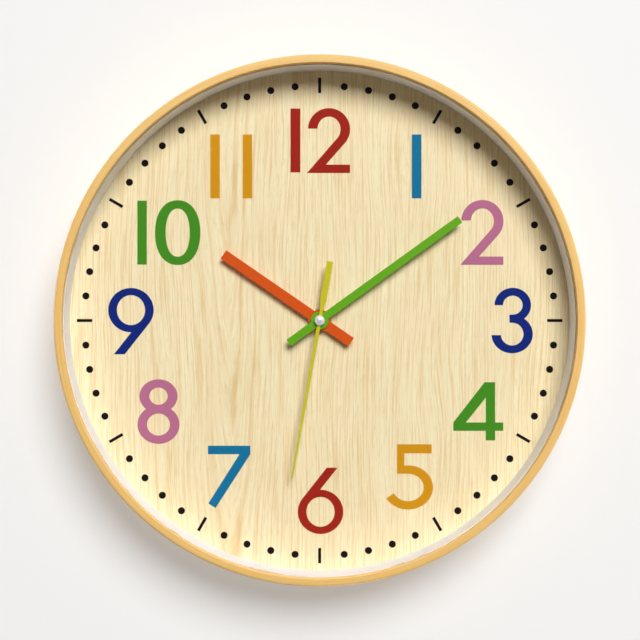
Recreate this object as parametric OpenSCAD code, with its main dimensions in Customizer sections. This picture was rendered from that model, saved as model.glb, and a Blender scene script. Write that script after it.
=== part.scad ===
// Round wooden-hoop wall clock with a children's dial and a one-cell quartz movement.
// Every piece is drawn face up: x to the right, y towards twelve o'clock, z from the wall to
// the viewer. on_wall() then stands it up, so that the dial faces -Y and twelve is at +Z.
// The origin lies on the hands' axis, in the plane of the wall.

/* [Hoop and glass] */
// Outer diameter of the wooden hoop
outer_d = 300; // [260:5:380]
// Wall of the hoop behind its front lip
hoop_wall = 3; // [2.5:0.5:6]
// Thickness of the front lip, from the glass to the front
lip_t = 4; // [3:0.5:6]
// Radius that rounds the hoop's outer front edge
edge_round = 1.6; // [0.6:0.2:2.4]
// Thickness of the front glass
glass_t = 2; // [1.5:0.5:4]
// Distance from the dial to the glass
glass_gap = 18; // [14:1:26]
// Wall of the pale ring between dial and glass
spacer_wall = 1.5; // [1:0.25:3]

/* [Dial] */
// Thickness of the dial's wood veneer
veneer_t = 0.5; // [0.3:0.1:1]
// Thickness of the fibre board behind the veneer
board_t = 3; // [2:0.5:5]
// How far the ring of minute dots lies inside the hoop's lip
track_inset = 8.5; // [7:0.5:14]
// Diameter of a minute dot
dot_d = 4.1; // [2:0.1:6]
// Length of an hour bar
bar_len = 8.9; // [5:0.1:12]
// Width of an hour bar
bar_w = 1.75; // [1:0.05:4]
// Thickness of the printed marks
print_t = 0.1; // [0.05:0.05:0.3]

/* [Hands] */
// Hour hand, from the axis to its square tip
hour_len = 67.5; // [50:0.5:80]
// Hour hand, from the axis to the end of its tail
hour_tail = 22.1; // [14:0.5:30]
// Width of the hour hand
hour_w = 5.8; // [4:0.1:9]
// Diameter of the hour hand's round eye
hour_eye_d = 12.6; // [10:0.2:16]
// Minute hand, from the axis to its square tip
minute_len = 99.8; // [80:0.5:110]
// Minute hand, from the axis to the end of its tail
minute_tail = 22; // [14:0.5:30]
// Width of the minute hand
minute_w = 4.5; // [3:0.1:7]
// Diameter of the minute hand's round eye
minute_eye_d = 10.3; // [8:0.1:14]
// Second hand, from the axis to the point of its needle
second_len = 93.1; // [75:0.5:105]
// Second hand, from the axis to the end of its counterweight bar
second_tail = 34.5; // [25:0.5:45]
// Width of the second hand's counterweight bar
weight_w = 3.6; // [2.5:0.1:6]
// Where the counterweight bar begins, from the axis
weight_start = 11.7; // [8:0.1:18]
// Width of the needle where it leaves the cap
needle_w = 2.2; // [1.6:0.1:3]
// Width of the needle just before its point
needle_tip_w = 1; // [0.6:0.1:1.4]
// Diameter of the domed cap on the second hand
cap_d = 6; // [5:0.1:8]
// Thickness of the hour and minute hands
hand_t = 0.5; // [0.3:0.1:0.8]
// Step from one hand's plane to the next
hand_step = 1.7; // [1.5:0.1:3]
// Time shown by the hour hand, in degrees clockwise from twelve
hour_angle = 304.5; // [0:0.5:359.5]
// Time shown by the minute hand, in degrees clockwise from twelve
minute_angle = 54.2; // [0:0.1:359.9]
// Time shown by the second hand, in degrees clockwise from twelve
second_angle = 190; // [0:1:359]

/* [Movement] */
// Height of the movement's case
case_h = 56; // [54:1:70]
// Depth of the gear room below the hands' axis
room_below = 10.6; // [10.2:0.2:13]
// Wall of the movement's case
case_wall = 1.4; // [1:0.1:2]
// Outside corner radius of the case
case_round = 4; // [2:0.5:7]
// Clear space between the case and the wall
back_clear = 2.2; // [1.8:0.1:8]
// Diameter of the dry cell
cell_d = 14; // [13.5:0.5:17]
// Length of the dry cell with its nub
cell_len = 50.5; // [49:0.5:60]
// Radius of the threaded bush that passes through the dial
bush_r = 4; // [3.6:0.1:5]
// Outer radius of the hour pipe
hour_pipe_r = 2.5; // [2.2:0.1:3]
// Outer radius of the minute pipe
minute_pipe_r = 1.5; // [1.2:0.05:1.75]
// Radius of the steel second arbor
arbor_r = 0.5; // [0.4:0.05:0.6]
// Module of the rotor pinion and the step wheel
rotor_module = 0.2; // [0.16:0.01:0.22]
// Module of the step pinion and the second wheel
step_module = 0.22; // [0.2:0.01:0.24]
// Module of the third pinion and the minute wheel
third_module = 0.25; // [0.22:0.01:0.26]
// Module of the minute pinion and the motion wheel
motion_module = 0.4; // [0.39:0.01:0.48]
// Radius of the setting knob
knob_r = 5.5; // [4:0.5:7]

/* [Wall hanger] */
// Radius of the keyhole's round mouth
keyhole_r = 4; // [3:0.25:6]
// Width of the keyhole's slot
slot_w = 4.4; // [2.5:0.1:5]
// Height of the mouth's centre above the case
keyhole_rise = 8; // [6:0.5:14]
// Width of the hanger strip
hanger_w = 20; // [16:1:30]
// Thickness of the hanger's sheet steel
hanger_t = 0.8; // [0.6:0.1:1.2]

/* [Hidden] */
$fn = 96;

// Clearances, all radial or one-sided
run_gap = 0.05;
press_gap = 0.02;
seat_gap = 0.3;
slide_gap = 0.1;
layer_gap = 0.9;

// How far a cut runs past a surface, and how far solids of one piece reach into each other
over = 1;
sink = 0.1;

// Hoop, from the outside in
hoop_r = outer_d / 2;
hoop_bore_r = hoop_r - hoop_wall;
disc_r = hoop_bore_r - seat_gap;
lip_r = disc_r - spacer_wall;
track_r = lip_r - track_inset;

// Case of the movement, sized by its cell
bay_floor_t = 0.8;
case_depth = cell_d + 2 * slide_gap + bay_floor_t;
contact_space = 1.35;
case_w = cell_len + 2 * contact_space + 2 * case_wall;
case_back = back_clear;
case_front = case_back + case_depth;
cover_t = 1.2;
room_back = case_back + cover_t;
room_front = case_front - case_wall;
room_x = case_w / 2 - case_wall;

// Stack along the axis, from the movement to the front of the hoop
gasket_t = 0.5;
hanger_z = case_front;
gasket_z = hanger_z + hanger_t;
board_z = gasket_z + gasket_t;
veneer_z = board_z + board_t;
dial_z = veneer_z + veneer_t;
glass_z = dial_z + glass_gap;
lip_z = glass_z + glass_t;
front_z = lip_z + lip_t;

// Nut, washer and bush on the dial
washer_t = 0.5;
washer_r = 7;
gasket_r = 11;
nut_flats = 12;
nut_t = 2.4;
nut_chamfer = 0.5;
nut_z = dial_z + washer_t;
bush_proud = 0.4;
bush_top = nut_z + nut_t + bush_proud;
bush_flange_r = bush_r + 1.5;
bush_flange_t = 0.6;
dial_hole_r = bush_r + seat_gap;

// Hands, one plane above the other
eye_bush_flange = 0.3;
eye_bush_wall = 0.6;
eye_bush_rim = 0.8;
second_tube_wall = 0.45;
pipe_proud = 0.1;
arbor_proud = 0.4;
cap_h = 2.2;
cap_edge = 0.4;
cap_overhang = 0.7;
hour_z = bush_top + 2 * eye_bush_flange;
minute_z = hour_z + hand_step;
second_z = minute_z + hand_step;
second_t = 0.4;
second_tube_len = 1.3;
hour_bush_r = hour_pipe_r + eye_bush_wall;
minute_bush_r = minute_pipe_r + eye_bush_wall;
second_tube_r = arbor_r + second_tube_wall;
second_eye_r = cap_d / 2 - cap_overhang;
hour_pipe_top = hour_z + hand_t + pipe_proud;
minute_pipe_top = minute_z + hand_t + pipe_proud;
arbor_top = second_z + second_t + arbor_proud;

// Dry cell and its bay below the gear room, and the case round both
cell_z = case_back + slide_gap + cell_d / 2;
bay_h = cell_d + 8 * slide_gap;
divider_t = 1.2;
room_bottom = -room_below;
bay_top = room_bottom - divider_t;
bay_bottom = bay_top - bay_h;
cell_y = (bay_bottom + bay_top) / 2;
case_bottom = bay_bottom - case_wall;
case_top = case_bottom + case_h;
room_top = case_top - case_wall;
nub_r = 2.75;
nub_len = 1.2;
crimp_round = 0.8;
base_round = 0.6;
positive_dimple_r = 1.8;
negative_dimple_r = 3.5;

// Teeth: sixty to one between the second and the minute, twelve to one to the hour
rotor_teeth = 10;
step_wheel_teeth = 50;
step_pinion_teeth = 10;
second_wheel_teeth = 60;
second_pinion_teeth = 8;
third_wheel_teeth = 60;
third_pinion_teeth = 8;
minute_wheel_teeth = 64;
minute_pinion_teeth = 12;
motion_wheel_teeth = 36;
motion_pinion_teeth = 10;
hour_wheel_teeth = 40;
addendum = 0.8;
dedendum = 1.25;
function tip_r(m, teeth) = m * (teeth / 2 + addendum);

// Two pairs share each of these centre distances, which sets the second module of each.
// The third arbor runs past the hour wheel's rim, so a larger hour wheel moves it out.
pivot_r = 0.35;
motion_dist = motion_module * (minute_pinion_teeth + motion_wheel_teeth) / 2;
hour_module = 2 * motion_dist / (motion_pinion_teeth + hour_wheel_teeth);
third_dist = max(third_module * (third_pinion_teeth + minute_wheel_teeth) / 2,
    tip_r(hour_module, hour_wheel_teeth) + pivot_r + seat_gap);
minute_wheel_module = 2 * third_dist / (third_pinion_teeth + minute_wheel_teeth);
second_module = 2 * third_dist / (second_pinion_teeth + third_wheel_teeth);
step_dist = step_module * (step_pinion_teeth + second_wheel_teeth) / 2;
rotor_dist = rotor_module * (rotor_teeth + step_wheel_teeth) / 2;

// Plan of the arbors, each seen from its neighbour
third_dir = 40;
step_dir = 125;
rotor_dir = 150;
motion_dir = 180;
function polar(r, a) = [r * cos(a), r * sin(a)];
axis_pos = [0, 0];
third_pos = polar(third_dist, third_dir);
step_pos = polar(step_dist, step_dir);
rotor_pos = step_pos + polar(rotor_dist, rotor_dir);
motion_pos = polar(motion_dist, motion_dir);

// Layers of the train, hung from the front of the gear room
gear_t = 0.8;
rim_w = 0.8;
arm_w = 0.18;
window_gap = 0.15;
hour_boss_wall = 0.9;
hour_boss_gap = 0.2;
leaf_past = 0.3;
hour_wheel_space = 0.7;
hour_wheel_z = room_front - hour_wheel_space - gear_t;
motion_wheel_z = hour_wheel_z - layer_gap - gear_t;
minute_wheel_z = motion_wheel_z - layer_gap - gear_t;
minute_flange_t = 0.35;
minute_flange_w = 1.1;
minute_flange_z = minute_wheel_z - slide_gap / 2 - minute_flange_t;
minute_pinion_past = 0.4;
clutch_t = 0.2;
clutch_flat = 0.6;
clutch_w = 1.9;
plate_t = 0.7;
plate_gap = 0.2;
plate_z = minute_flange_z - plate_gap - plate_t;
third_wheel_z = plate_z - layer_gap - gear_t;
second_layer_gap = 1.1;
second_wheel_z = third_wheel_z - second_layer_gap - gear_t;
step_wheel_z = second_wheel_z - layer_gap - gear_t;
train_back = step_wheel_z - seat_gap;
pivot_depth = 0.8;
pivot_back = room_back - pivot_depth / 2;
pivot_front = room_front + pivot_depth;
boss_r = 1.2;
axis_boss_r = 1.4;
stem_r = 0.9;
knob_t = 1.5;
knob_web = 0.4;
knob_hub_r = 2.2;
knob_rim_w = 1;
knob_dish = 0.5;
knob_grips = 24;
grip_r = 0.45;
groove_gap = 1;
groove_w = 0.6;
groove_depth = 0.3;
knob_z = case_back - seat_gap - knob_t;

// Stepping motor
magnet_r = 2.8;
magnet_t = 2.9;
stator_hole_r = 3.2;
stator_ring_r = 4.4;
stator_t = 0.8;
stator_stand = 1.3;
stator_z = plate_z - stator_stand - stator_t;
magnet_z = stator_z + stator_t / 2 - 0.55 * magnet_t;
stator_left = -room_x + 3.6;
stator_right = -2.5;
stator_bar_w = 3.2;
notch_r = 0.35;
leg_w = 3;
core_w = 3;
pad_r = 1.3;
stator_pin_r = 0.5;
stator_pin_proud = 0.3;
rotor_pinion_past = 0.4;
core_z = stator_z - stator_t;
coil_y = room_top - 5.6;
coil_z = core_z + stator_t / 2;
bobbin_r = 2;
bobbin_flange_r = 3.4;
bobbin_flange_t = 0.8;
leg_gap = 0.5;
bobbin_left = stator_left + leg_w + leg_gap;
bobbin_right = stator_right - leg_w - leg_gap;
winding_r = 3.1;

// Circuit board and contacts
pcb_t = 0.8;
pcb_z = plate_z + plate_t + seat_gap;
pcb_x = [1.5, 21.8];
pcb_y = [room_top - 10.8, room_top - 1.4];
pcb_posts = [[pcb_x[0] + 6.5, pcb_y[1] - 1.8], [pcb_x[1] - 3.5, pcb_y[1] - 1.8],
    [pcb_x[0] + 10.5, pcb_y[0] + 2]];
chip_pos = [pcb_x[0] + 5.5, pcb_y[0] + 4.2];
chip_r = 2.6;
chip_h = 1.32;
can_pos = [pcb_x[1] - 8.5, pcb_y[0] + 5.2];
can_r = 1;
can_len = 6;
can_round = 0.3;
strip_t = 0.4;
strip_w = 3;
strip_z = pcb_z + pcb_t;
strip_x = room_x - slide_gap - strip_t;
strip_foot = 2.5;
contact_half_w = 4;
contact_inset = 3;
contact_bottom = bay_bottom + contact_inset;
contact_top = bay_top - contact_inset;
contact_slot_half = strip_t / 2 + 2 * slide_gap;

// Posts moulded into the shell, cover posts at its corners and plate posts inside them
post_r = 1.4;
cover_post_x = room_x - 2.4;
cover_post_y = [room_bottom + 2, room_top - 2.7];
plate_x = room_x - 5.1;
plate_y = [room_bottom + 1.3, room_top - 11.4];
plate_round = 2;
plate_post_x = plate_x - 2;
plate_post_y = [plate_y[0] + 1.8, plate_y[1] - 1.8];
stud_r = 0.8;
stud_proud = 0.5;

// Snap hooks of the cover
hook_w = 5;
hook_t = 1;
hook_len = 2;
hook_bite = 0.8;
hook_z = room_back + 3;
hook_y = [room_bottom + 15, room_top - 9];
cover_round = 1.2;
finger_notch_r = 8;

// Hanger, bent from one strip
bend_r = 0.8;
hanger_run_y = case_top + bend_r;
tab_z = 0.8;
keyhole_y = hanger_run_y + keyhole_rise;
slot_rise = 6;
tab_end = keyhole_y + hanger_t + 11;
tab_corner_r = 5;
foot_past = 5;

// Bent steel tabs that hold the board
tab_count = 8;
tab_w = 8;
tab_tip_w = 2.7;
tab_t = 0.5;
tab_bite = 1.4;
tab_shoulder = 1;
tab_reach = 7;

// Helpers

module on_wall() { rotate([90, 0, 0]) children(); }
module at(pos, z = 0) { translate([pos[0], pos[1], z]) children(); }
module pin(r, z0, z1) { translate([0, 0, z0]) cylinder(r = r, h = z1 - z0); }
module ring(r_out, r_in, z0, z1) {
    difference() {
        pin(r_out, z0, z1);
        pin(r_in, z0 - over, z1 + over);
    }
}
module block(x, y, z) {
    translate([x[0], y[0], z[0]]) cube([x[1] - x[0], y[1] - y[0], z[1] - z[0]]);
}
module slab(z0, z1) { translate([0, 0, z0]) linear_extrude(z1 - z0) children(); }
module clock_hand(angle) { rotate([0, 0, -angle]) children(); }
function arc(cx, cy, r, a0, a1, n = 8) =
    [for (i = [0:n]) [cx + r * cos(a0 + (a1 - a0) * i / n), cy + r * sin(a0 + (a1 - a0) * i / n)]];
module rounded_square(w, h, r) {
    square([w - 2 * r, h], center = true);
    square([w, h - 2 * r], center = true);
    for (x = [-1, 1], y = [-1, 1])
        translate([x * (w / 2 - r), y * (h / 2 - r)]) circle(r);
}

// One tooth has a root, a pitch and a tip width, each a share of the tooth pitch.
// A wheel's teeth widen to their root, and a pinion's leaves have near radial flanks.
wheel_widths = [0.32, 0.21, 0.10];
pinion_widths = [0.20, 0.21, 0.12];
function tooth_points(m, teeth, phase, widths) = [
    for (i = [0:teeth - 1], k = [-3, -2, -1, 1, 2, 3])
        let (r = [tip_r(m, teeth), m * teeth / 2, m * (teeth / 2 - dedendum)][abs(k) - 1],
            share = [widths[2], widths[1], widths[0]][abs(k) - 1])
        polar(r, phase + (i + sign(k) * share) * 360 / teeth)];
module wheel_teeth(m, teeth, phase) { polygon(tooth_points(m, teeth, phase, wheel_widths)); }
module pinion_teeth(m, teeth, phase) { polygon(tooth_points(m, teeth, phase, pinion_widths)); }

// Phase that puts a gap of the second gear where the first has a tooth, seen along dir
function mesh_phase(dir, phase, teeth, mate_teeth) =
    dir + 180 - (0.5 - (dir - phase) * teeth / 360) * 360 / mate_teeth;

step_pinion_phase = mesh_phase(step_dir, 0, second_wheel_teeth, step_pinion_teeth);
rotor_phase = mesh_phase(rotor_dir, 0, step_wheel_teeth, rotor_teeth);
third_wheel_phase = mesh_phase(third_dir, 0, second_pinion_teeth, third_wheel_teeth);
minute_wheel_phase = mesh_phase(third_dir + 180, 0, third_pinion_teeth, minute_wheel_teeth);
motion_wheel_phase = mesh_phase(motion_dir, 0, minute_pinion_teeth, motion_wheel_teeth);
hour_wheel_phase = mesh_phase(motion_dir + 180, 0, motion_pinion_teeth, hour_wheel_teeth);

// A spoked wheel: rim and hub joined by arms between round windows, which fill the web
// unless they would leave less than an arm's width between them
module spoked_wheel(m, teeth, phase, hub_r, arms) {
    root_r = m * (teeth / 2 - dedendum);
    rim_r = root_r - rim_w;
    mid_r = (rim_r + hub_r) / 2;
    window_r = min((rim_r - hub_r) / 2 - window_gap, mid_r * sin(180 / arms) - arm_w / 2);
    difference() {
        wheel_teeth(m, teeth, phase);
        for (i = [0:arms - 1])
            translate(polar(mid_r, phase + i * 360 / arms)) circle(window_r, $fn = 48);
    }
}

// Hoop, glass, dial

module wood_frame() {
    back_round = 1;
    lip_round = 0.5;
    profile = concat(
        [[hoop_bore_r, 0]],
        arc(hoop_r - back_round, back_round, back_round, -90, 0, 4),
        arc(hoop_r - edge_round, front_z - edge_round, edge_round, 0, 90, 8),
        arc(lip_r + lip_round, front_z - lip_round, lip_round, 90, 180, 4),
        [[lip_r, lip_z], [hoop_bore_r, lip_z]]);
    color("burlywood") on_wall() difference() {
        rotate_extrude($fn = 180) polygon(profile);
        for (i = [0:tab_count - 1])
            rotate([0, 0, (i + 0.5) * 360 / tab_count])
                block([hoop_bore_r - over, hoop_bore_r + tab_bite + slide_gap],
                    [-tab_w / 2 - slide_gap, tab_w / 2 + slide_gap],
                    [board_z - tab_t - slide_gap, board_z]);
    }
}

module front_glass() {
    color([0.85, 0.95, 0.95, 0.35]) on_wall() pin(disc_r, glass_z, lip_z);
}

module spacer_ring() {
    color("whitesmoke") on_wall() ring(disc_r, lip_r, dial_z, glass_z);
}

module dial_face() {
    color("wheat") on_wall() ring(disc_r, dial_hole_r, veneer_z, dial_z);
}

module minute_dots() {
    color([0.1, 0.08, 0.08]) on_wall() slab(dial_z, dial_z + print_t)
        for (i = [0:59])
            if (i % 5 != 0) rotate(i * 6) translate([track_r, 0]) circle(d = dot_d, $fn = 36);
}

module hour_bars() {
    color([0.1, 0.08, 0.08]) on_wall() slab(dial_z, dial_z + print_t)
        for (i = [0:11]) rotate(i * 30) translate([track_r, 0]) square([bar_len, bar_w], center = true);
}

module dial_board() {
    color("tan") on_wall() ring(disc_r, dial_hole_r, board_z, veneer_z);
}

// Each tab bites into a slot of the hoop and bears on the back of the board
module board_tabs() {
    color("silver") on_wall() for (i = [0:tab_count - 1])
        rotate([0, 0, (i + 0.5) * 360 / tab_count])
            slab(board_z - tab_t, board_z) translate([hoop_bore_r + tab_bite, 0]) polygon([
                [0, -tab_w / 2], [0, tab_w / 2], [-tab_bite - tab_shoulder, tab_w / 2],
                [-tab_bite - tab_reach, tab_tip_w / 2], [-tab_bite - tab_reach, -tab_tip_w / 2],
                [-tab_bite - tab_shoulder, -tab_w / 2]]);
}

// Nut side of the dial

module hex_nut() {
    corner_r = nut_flats / 2 / cos(30);
    top = nut_z + nut_t;
    color("goldenrod") on_wall() difference() {
        intersection() {
            slab(nut_z, top) circle(corner_r, $fn = 6);
            rotate_extrude() polygon([[0, nut_z], [corner_r, nut_z], [corner_r, top - nut_chamfer],
                [corner_r - 2 * nut_chamfer, top], [0, top]]);
        }
        pin(bush_r + press_gap, nut_z - over, top + over);
    }
}

module nut_washer() {
    color("silver") on_wall() ring(washer_r, bush_r + slide_gap, dial_z, nut_z);
}

module sealing_gasket() {
    color([0.12, 0.12, 0.12]) on_wall() ring(gasket_r, bush_r + slide_gap, gasket_z, board_z);
}

// Quarter bend of the strip round a centre, from the turn's angle on
module strip_bend(y, z, turn) {
    translate([y, z]) rotate(turn) intersection() {
        difference() {
            circle(bend_r + hanger_t, $fn = 48);
            circle(bend_r, $fn = 48);
        }
        square(bend_r + hanger_t);
    }
}

// Profile in (y, z): clamped foot, run along the top of the case and tab at the wall
module hanger_profile() {
    foot_end = -bush_r - foot_past;
    run_y = hanger_run_y + hanger_t;
    outer = bend_r + hanger_t;
    translate([foot_end, hanger_z]) square([hanger_run_y - bend_r - foot_end, hanger_t]);
    strip_bend(hanger_run_y - bend_r, hanger_z - bend_r, 0);
    translate([hanger_run_y, tab_z + outer]) square([hanger_t, hanger_z - bend_r - tab_z - outer]);
    strip_bend(run_y + bend_r, tab_z + outer, 180);
    translate([run_y + bend_r, tab_z]) square([tab_end - run_y - bend_r, hanger_t]);
}

module wall_hanger() {
    through = [tab_z - over, tab_z + hanger_t + over];
    corner = tab_corner_r;
    color("silver") on_wall() difference() {
        rotate([90, 0, 90]) translate([0, 0, -hanger_w / 2]) linear_extrude(hanger_w) hanger_profile();
        pin(bush_r + slide_gap, hanger_z - over, gasket_z + over);
        at([0, keyhole_y]) pin(keyhole_r, through[0], through[1]);
        at([0, keyhole_y + slot_rise]) pin(slot_w / 2, through[0], through[1]);
        block([-slot_w / 2, slot_w / 2], [keyhole_y, keyhole_y + slot_rise], through);
        for (x = [-1, 1]) at([x * (hanger_w / 2 - corner), tab_end - corner])
            difference() {
                block([min(0, x * 2 * corner), max(0, x * 2 * corner)], [0, 2 * corner], through);
                pin(corner, through[0] - over, through[1] + over);
            }
    }
}

// Movement: moulded case

module threaded_bush() {
    color("goldenrod") on_wall() difference() {
        union() {
            pin(bush_flange_r, room_front, room_front + bush_flange_t);
            pin(bush_r, room_front, bush_top);
        }
        pin(hour_pipe_r + run_gap, room_front - over, bush_top + over);
    }
}

module case_shell() {
    color([0.13, 0.13, 0.14]) on_wall() difference() {
        union() {
            difference() {
                slab(case_back, case_front) translate([0, (case_bottom + case_top) / 2])
                    rounded_square(case_w, case_h, case_round);
                block([-room_x, room_x], [room_bottom, room_top], [case_back - over, room_front]);
                block([-room_x, room_x], [bay_bottom, bay_top],
                    [case_back - over, case_front - bay_floor_t]);
            }
            shell_posts();
        }
        shell_openings();
    }
}

// Posts stand on the front plate: four carry the cover, four the middle plate, three the board
module shell_posts() {
    for (x = [-cover_post_x, cover_post_x], y = cover_post_y)
        at([x, y]) pin(post_r, room_back, room_front + sink);
    for (x = [-plate_post_x, plate_post_x], y = plate_post_y) at([x, y]) {
        pin(post_r, plate_z + plate_t, room_front + sink);
        pin(stud_r, plate_z - stud_proud, room_front);
    }
    for (p = pcb_posts) at(p) pin(post_r, pcb_z + pcb_t, room_front + sink);
}

module shell_openings() {
    strip_mid = strip_x + strip_t / 2;
    wall_mid = (case_w - case_wall) / 2;
    pin(bush_r + press_gap, room_front - over, case_front + over);
    pin(bush_flange_r + press_gap, room_front - over, room_front + bush_flange_t);
    for (p = [third_pos, motion_pos]) at(p)
        pin(pivot_r + run_gap, room_front - over, pivot_front + slide_gap);
    // Slots that let the contact strips pass from the bay into the gear room
    for (x = [-strip_mid, strip_mid])
        block([x - contact_slot_half, x + contact_slot_half],
            [bay_top - over, room_bottom + over], [strip_z - slide_gap, room_front]);
    // Windows for the cover's snap hooks
    for (x = [-wall_mid, wall_mid], y = hook_y)
        block([x - case_wall, x + case_wall],
            [y - hook_w / 2 - slide_gap, y + hook_w / 2 + slide_gap],
            [hook_z - slide_gap, hook_z + hook_len + 2 * slide_gap]);
    // Finger notch in the bay's outer wall
    translate([0, case_bottom + case_wall / 2, case_back])
        rotate([90, 0, 0]) pin(finger_notch_r, -case_wall, case_wall);
}

module case_cover() {
    wall_x = room_x - slide_gap;
    cover_h = room_top - room_bottom - 2 * slide_gap;
    color([0.17, 0.17, 0.18]) on_wall() difference() {
        union() {
            slab(case_back, room_back)
                translate([0, (room_bottom + room_top) / 2])
                    rounded_square(2 * wall_x, cover_h, cover_round);
            cover_bosses();
            for (x = [-1, 1], y = hook_y) snap_hook(x, y, wall_x);
        }
        for (p = [axis_pos, third_pos, step_pos, rotor_pos]) at(p)
            pin((p == axis_pos ? arbor_r : pivot_r) + run_gap, pivot_back - slide_gap, room_front);
        at(motion_pos) pin(stem_r + run_gap, case_back - over, room_back + over);
        // Ring groove round the setting knob
        at(motion_pos) ring(knob_r + groove_gap + groove_w, knob_r + groove_gap,
            case_back - over, case_back + groove_depth);
    }
}

module cover_bosses() {
    at(axis_pos) pin(axis_boss_r, room_back - sink, second_wheel_z - seat_gap);
    at(third_pos) pin(boss_r, room_back - sink, third_wheel_z - seat_gap);
    at(step_pos) pin(boss_r, room_back - sink, train_back);
    at(rotor_pos) pin(boss_r, room_back - sink, train_back - slide_gap);
}

// A tongue along the side wall with a wedge that springs into the wall's window
module snap_hook(side, y, wall_x) {
    translate([side * wall_x, y + hook_w / 2, 0]) rotate([90, 0, 0]) linear_extrude(hook_w)
        scale([side, 1]) polygon([[-hook_t, room_back - sink], [0, room_back - sink], [0, hook_z],
            [hook_bite, hook_z], [0, hook_z + hook_len - 2 * slide_gap], [-hook_t, hook_z + hook_len]]);
}

module middle_plate() {
    module hole(pos, r) { at(pos) pin(r, plate_z - over, plate_z + plate_t + over); }
    third_hole_r = tip_r(minute_wheel_module, third_pinion_teeth) + seat_gap + slide_gap;
    color("ivory") on_wall() difference() {
        union() {
            slab(plate_z, plate_z + plate_t)
                translate([0, (plate_y[0] + plate_y[1]) / 2])
                    rounded_square(2 * plate_x, plate_y[1] - plate_y[0], plate_round);
            // Pads and pins that seat the stator
            for (p = stator_pins()) at(p) {
                pin(pad_r, stator_z + stator_t, plate_z + sink);
                pin(stator_pin_r, stator_z - stator_pin_proud, plate_z);
            }
        }
        hole(axis_pos, arbor_r + run_gap);
        hole(third_pos, third_hole_r);
        hole(motion_pos, stem_r + run_gap);
        for (p = [step_pos, rotor_pos]) hole(p, pivot_r + run_gap);
        for (x = [-plate_post_x, plate_post_x], y = plate_post_y) hole([x, y], stud_r + press_gap);
    }
}
function stator_pins() = [[stator_left + leg_w / 2 + 0.8, rotor_pos[1]],
    [stator_right - leg_w / 2, rotor_pos[1] + 0.4]];

// Dry cell and contacts

module dry_cell() {
    color("dimgray") on_wall() translate([-cell_len / 2, cell_y, cell_z]) rotate([0, 90, 0])
        rotate_extrude() polygon(concat(
            [[0, 0]],
            arc(cell_d / 2 - base_round, base_round, base_round, -90, 0, 4),
            arc(cell_d / 2 - crimp_round, cell_len - nub_len - crimp_round, crimp_round, 0, 90, 4),
            [[nub_r, cell_len - nub_len], [nub_r, cell_len], [0, cell_len]]));
}

// Plate on the bay's end wall with a dimple that presses on the cell
module contact_plate(side, dimple_r, strip_end) {
    x_wall = [strip_x, strip_x + strip_t];
    scale([side, 1, 1]) {
        block(x_wall, [contact_bottom, contact_top], [cell_z - contact_half_w, strip_z + strip_w]);
        block(x_wall, [contact_top - sink, strip_end], [strip_z, strip_z + strip_w]);
        translate([cell_len / 2, cell_y, cell_z]) rotate([0, 90, 0])
            pin(dimple_r, 0, strip_x - cell_len / 2 + sink);
    }
}

module contact_positive() {
    foot_y = [pcb_y[0] + slide_gap, pcb_y[0] + slide_gap + strip_foot];
    color("silver") on_wall() {
        contact_plate(1, positive_dimple_r, foot_y[1]);
        block([pcb_x[1] - strip_foot / 2, strip_x + sink], foot_y, [strip_z, strip_z + strip_t]);
    }
}

module contact_negative() {
    top = room_top - slide_gap;
    foot_x = [pcb_x[0] + seat_gap, pcb_x[0] + seat_gap + strip_foot];
    color("silver") on_wall() {
        contact_plate(-1, negative_dimple_r, top);
        block([-strip_x - sink, foot_x[1]], [top - strip_t, top], [strip_z, strip_z + strip_w]);
        block(foot_x, [pcb_y[1] - strip_foot / 2, top], [strip_z, strip_z + strip_t]);
    }
}

// Electronics

module circuit_board() {
    color("darkgreen") on_wall() block(pcb_x, pcb_y, [pcb_z, pcb_z + pcb_t]);
}

// A drop of resin: a flat cap of a sphere, hung from the board
module timing_chip() {
    ball_r = (chip_r * chip_r + chip_h * chip_h) / (2 * chip_h);
    rim_angle = acos(chip_r / ball_r);
    color([0.08, 0.08, 0.08]) on_wall() at(chip_pos, pcb_z) rotate([180, 0, 0])
        rotate_extrude() polygon(concat([[0, 0]], arc(0, chip_h - ball_r, ball_r, rim_angle, 90)));
}

module quartz_crystal() {
    color("silver") on_wall() at(can_pos, pcb_z - can_r - press_gap) rotate([0, 90, 0])
        rotate_extrude() polygon(concat([[0, 0], [can_r, 0]],
            arc(can_r - can_round, can_len - can_round, can_round, 0, 90, 4), [[0, can_len]]));
}

// Stepping motor

module stator_plate() {
    bar_y = rotor_pos[1] - stator_bar_w / 2;
    color("slategray") on_wall() difference() {
        slab(stator_z, stator_z + stator_t) {
            translate([stator_left, bar_y]) square([stator_right - stator_left, stator_bar_w]);
            translate(rotor_pos) circle(stator_ring_r);
            for (x = [stator_left, stator_right - leg_w])
                translate([x, bar_y]) square([leg_w, coil_y + core_w / 2 - bar_y]);
        }
        slab(stator_z - over, stator_z + stator_t + over) {
            translate(rotor_pos) circle(stator_hole_r);
            // Two notches that set the rotor's rest angle
            for (a = [50, 230]) translate(rotor_pos + polar(stator_hole_r, a)) circle(notch_r);
            for (p = stator_pins()) translate(p) circle(stator_pin_r + press_gap);
        }
    }
}

module coil_core() {
    color("lightslategray") on_wall()
        block([stator_left, stator_right], [coil_y - core_w / 2, coil_y + core_w / 2],
            [core_z, core_z + stator_t]);
}

module along_coil(x0, x1) {
    translate([x0, coil_y, coil_z]) rotate([0, 90, 0]) {
        $coil_len = x1 - x0;
        children();
    }
}

module coil_bobbin() {
    color("ivory") on_wall() along_coil(bobbin_left, bobbin_right) difference() {
        union() {
            pin(bobbin_r, 0, $coil_len);
            pin(bobbin_flange_r, 0, bobbin_flange_t);
            pin(bobbin_flange_r, $coil_len - bobbin_flange_t, $coil_len);
        }
        pin(norm([core_w, stator_t]) / 2 + press_gap, -over, $coil_len + over);
    }
}

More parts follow.
